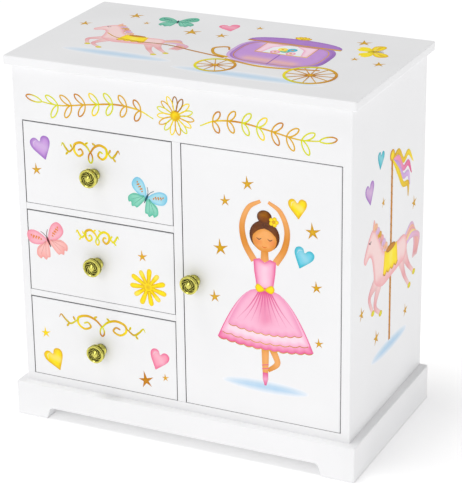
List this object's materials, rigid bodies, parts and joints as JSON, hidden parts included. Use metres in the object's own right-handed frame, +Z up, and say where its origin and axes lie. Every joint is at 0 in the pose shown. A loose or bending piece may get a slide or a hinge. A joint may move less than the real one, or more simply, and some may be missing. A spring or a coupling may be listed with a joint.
{
  "type": "musical jewellery cabinet",
  "caption": "White painted musical jewellery cabinet with a hinged mirror lid, drawers, a cupboard door, brass knobs and a folding ballerina turned by clockwork.",
  "frame": {"origin": "on the floor under the middle of the bounding box, which is the middle of the cabinet", "axes": "+Z up, +X to the right of a person facing the front, front with the drawers and door faces -Y"},
  "size_m": [0.2736, 0.1655, 0.2818],
  "materials": {
    "white_paint": "smooth white satin paint on board",
    "back_board": "thin white paint on board",
    "lilac_lining": "short-pile flocked fabric",
    "antique_brass": "antique brass, darkened in the grooves",
    "steel": "bright zinc-plated or polished steel",
    "works_brass": "turned brass",
    "zinc": "bare zinc die-casting",
    "case_plastic": "moulded ivory plastic",
    "turntable_plastic": "glossy pale pink plastic",
    "mirror": "silvered glass",
    "doll_plastic": "moulded plastic, hand coloured",
    "tulle": "stiff pleated tulle"
  },
  "bodies": {
    "cabinet": {"side_panel_left": "white_paint", "side_panel_right": "white_paint", "bottom_panel": "white_paint", "centre_wall": "white_paint", "drawer_shelves": "white_paint", "tray_floor": "back_board", "frieze_panel": "white_paint", "back_panel": "back_board", "plinth_front": "white_paint", "plinth_sides_and_back": "white_paint", "magnet_catch": "case_plastic", "necklace_pegs": "white_paint", "tray_lining": "lilac_lining", "tray_dividers": "lilac_lining", "ring_rolls": "lilac_lining", "lid_hinge_cabinet_leaves": "antique_brass", "lid_hinge_pins": "antique_brass", "hinge_screws_cabinet": "antique_brass", "music_case": "case_plastic", "movement_bedplate": "zinc", "comb": "steel", "spring_barrel": "works_brass"},
    "lid": {"lid_panel": "white_paint", "mirror_frame": "white_paint", "mirror_glass": "mirror", "lid_hinge_lid_leaves": "antique_brass", "hinge_screws_lid": "antique_brass"},
    "door": {"door_panel": "white_paint", "door_knob": "antique_brass", "door_knob_screw": "steel", "door_strike_plate": "steel", "door_pivot_pins": "steel"},
    "drawer_top": {"drawer_1_front": "white_paint", "drawer_1_box": "back_board", "drawer_1_lining": "lilac_lining", "drawer_1_knob": "antique_brass", "drawer_1_knob_screw": "steel"},
    "drawer_middle": {"drawer_2_front": "white_paint", "drawer_2_box": "back_board", "drawer_2_lining": "lilac_lining", "drawer_2_knob": "antique_brass", "drawer_2_knob_screw": "steel"},
    "drawer_bottom": {"drawer_3_front": "white_paint", "drawer_3_box": "back_board", "drawer_3_lining": "lilac_lining", "drawer_3_knob": "antique_brass", "drawer_3_knob_screw": "steel"},
    "winding": {"winding_key": "antique_brass", "winding_arbor": "steel", "mainspring": "steel"},
    "drum": {"music_drum": "works_brass", "drum_arbor": "steel"},
    "governor_wheel": {"governor_wheel": "steel"},
    "governor": {"governor_worm": "steel"},
    "spindle": {"dancer_spindle": "steel", "turntable": "turntable_plastic", "ballerina_spring": "steel"},
    "ballerina": {"ballerina_figure": "doll_plastic", "ballerina_tutu": "tulle"},
    "stop": {"stop_rod": "steel"}
  },
  "joints": [
    {"name": "lid_hinge", "type": "hinge", "parent": "cabinet", "child": "lid", "pos_m": [0, 0.07325, 0.275], "axis": [-1, 0, 0], "range_deg": [0, 100]},
    {"name": "door_hinge", "type": "hinge", "parent": "cabinet", "child": "door", "pos_m": [0.1211, -0.06895, 0.1335], "axis": [0, 0, 1], "range_deg": [0, 100]},
    {"name": "drawer_top_slide", "type": "slide", "parent": "cabinet", "child": "drawer_top", "axis": [0, -1, 0], "range_m": [0, 0.1]},
    {"name": "drawer_middle_slide", "type": "slide", "parent": "cabinet", "child": "drawer_middle", "axis": [0, -1, 0], "range_m": [0, 0.1]},
    {"name": "drawer_bottom_slide", "type": "slide", "parent": "cabinet", "child": "drawer_bottom", "axis": [0, -1, 0], "range_m": [0, 0.1]},
    {"name": "drum_spin", "type": "hinge", "parent": "cabinet", "child": "drum", "pos_m": [0.068, 0.028, 0.214], "axis": [0, 1, 0], "continuous": true},
    {"name": "winding_key_turn", "type": "hinge", "parent": "cabinet", "child": "winding", "pos_m": [0.0848, 0.06, 0.214], "axis": [0, 1, 0], "continuous": true},
    {"name": "governor_wheel_spin", "type": "hinge", "parent": "cabinet", "child": "governor_wheel", "pos_m": [0.07362, 0.033, 0.20426], "axis": [0, 1, 0], "continuous": true},
    {"name": "governor_spin", "type": "hinge", "parent": "cabinet", "child": "governor", "pos_m": [0.07901, 0.028, 0.212], "axis": [0, 0, 1], "continuous": true},
    {"name": "dancer_spin", "type": "hinge", "parent": "cabinet", "child": "spindle", "pos_m": [0.068, 0.008, 0.23], "axis": [0, 0, 1], "continuous": true},
    {"name": "ballerina_fold", "type": "hinge", "parent": "spindle", "child": "ballerina", "pos_m": [0.068, 0.008, 0.2485], "axis": [-1, 0, 0], "range_deg": [0, 80], "deforming": ["ballerina_spring"]},
    {"name": "stop_lift", "type": "slide", "parent": "cabinet", "child": "stop", "axis": [0, 0, 1], "range_m": [0, 0.004]}
  ],
  "couplings": [
    {"joint": "winding_key_turn", "follows": "drum_spin", "ratio": -0.4},
    {"joint": "governor_wheel_spin", "follows": "drum_spin", "ratio": -4},
    {"joint": "governor_spin", "follows": "drum_spin", "ratio": -40},
    {"joint": "dancer_spin", "follows": "drum_spin", "ratio": -2},
    {"joint": "ballerina_fold", "follows": "lid_hinge", "ratio": 0.8},
    {"joint": "stop_lift", "follows": "lid_hinge", "m_per_rad": 0.00229}
  ]
}
